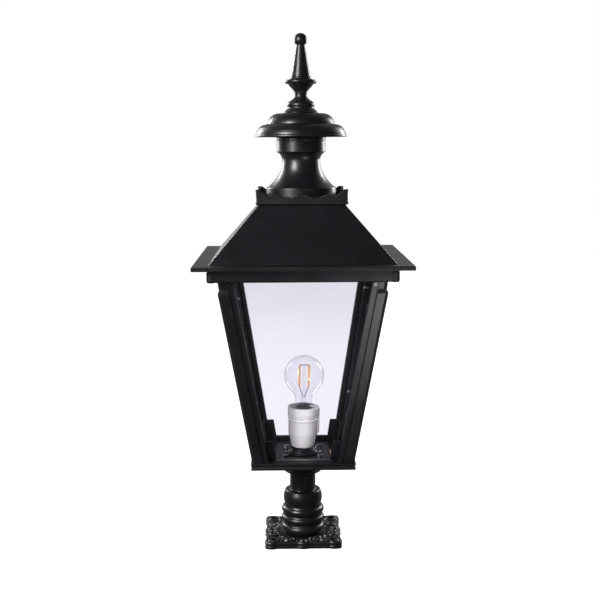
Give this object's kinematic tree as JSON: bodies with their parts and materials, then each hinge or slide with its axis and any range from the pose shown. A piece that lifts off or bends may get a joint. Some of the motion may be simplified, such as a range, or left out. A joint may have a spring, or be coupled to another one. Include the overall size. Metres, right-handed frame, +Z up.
{
  "type": "street lamp post",
  "caption": "Four-sided tapered glazed lantern with a hipped roof, chimney and finial, on a short turned pedestal with a lobed foot plate, lit by one screw-in bulb.",
  "frame": {"origin": "centre of the foot plate's underside", "axes": "+Z up, front towards -Y, hinge of the roof at the back, +Y"},
  "size_m": [0.3, 0.3, 0.7489],
  "materials": {
    "powder_black": "satin",
    "zinc_steel": "satin",
    "brass": "satin",
    "pane_glass": "gloss",
    "bulb_clear_glass": "gloss",
    "porcelain": "gloss",
    "block_plastic": "satin",
    "black_rubber": "matte",
    "lead_brown": "satin",
    "lead_blue": "satin",
    "nickel_cap": "satin",
    "solder_tip": "satin",
    "cap_insulator": "gloss",
    "led_phosphor": "satin"
  },
  "bodies": {
    "root": {"foot_plate": "powder_black", "pedestal": "powder_black", "foot_screws": "zinc_steel", "tie_tube": "zinc_steel", "tie_nuts": "zinc_steel", "tie_washers": "zinc_steel", "cable_bush": "black_rubber", "terminal_block": "block_plastic", "lead_live": "lead_brown", "lead_neutral": "lead_blue", "neck_boss": "powder_black", "floor_frame": "powder_black", "boss_screws": "zinc_steel", "earth_screw": "brass", "holder_dome": "powder_black", "holder_body": "porcelain", "holder_shell": "brass", "holder_contacts": "brass", "post_front_left": "powder_black", "post_front_right": "powder_black", "post_back_left": "powder_black", "post_back_right": "powder_black", "socket_screws": "zinc_steel", "glass_front": "pane_glass", "glass_back": "pane_glass", "glass_left": "pane_glass", "glass_right": "pane_glass", "glazing_seals": "black_rubber", "glazing_beads": "powder_black", "glazing_screws": "zinc_steel", "top_frame": "powder_black", "post_screws": "zinc_steel", "roof_gasket": "black_rubber", "hinge_frame_leaves": "powder_black", "hinge_frame_screws": "zinc_steel", "hinge_pins": "zinc_steel"},
    "roof": {"eave_plate": "powder_black", "roof_shell": "powder_black", "roof_screws": "zinc_steel", "hinge_roof_leaves": "powder_black", "hinge_roof_screws": "zinc_steel", "crown_collar": "powder_black", "chimney_neck": "powder_black", "cowl": "powder_black", "finial": "powder_black", "tie_rod": "zinc_steel", "rod_nut": "zinc_steel", "rod_washer": "zinc_steel", "rod_bridge": "zinc_steel"},
    "bulb": {"bulb_glass": "bulb_clear_glass", "bulb_cap": "nickel_cap", "bulb_insulator": "cap_insulator", "bulb_tip": "solder_tip", "bulb_stem": "bulb_clear_glass", "bulb_filaments": "led_phosphor"},
    "lock_left": {"lock_screw_left": "zinc_steel"},
    "lock_right": {"lock_screw_right": "zinc_steel"}
  },
  "joints": [
    {"name": "roof_hinge", "type": "hinge", "parent": "root", "child": "roof", "pos_m": [0, 0.1375, 0.4195], "axis": [-1, 0, 0], "range_deg": [0, 100]},
    {"name": "bulb_turn", "type": "hinge", "parent": "root", "child": "bulb", "pos_m": [0, 0, 0.1415], "axis": [0.0279, 0, 0.9996], "continuous": true},
    {"name": "lock_turn_left", "type": "hinge", "parent": "root", "child": "lock_left", "pos_m": [-0.1295, 0, 0.416], "axis": [-1, 0, 0], "continuous": true},
    {"name": "lock_turn_right", "type": "hinge", "parent": "root", "child": "lock_right", "pos_m": [0.1295, 0, 0.416], "axis": [1, 0, 0], "continuous": true}
  ]
}
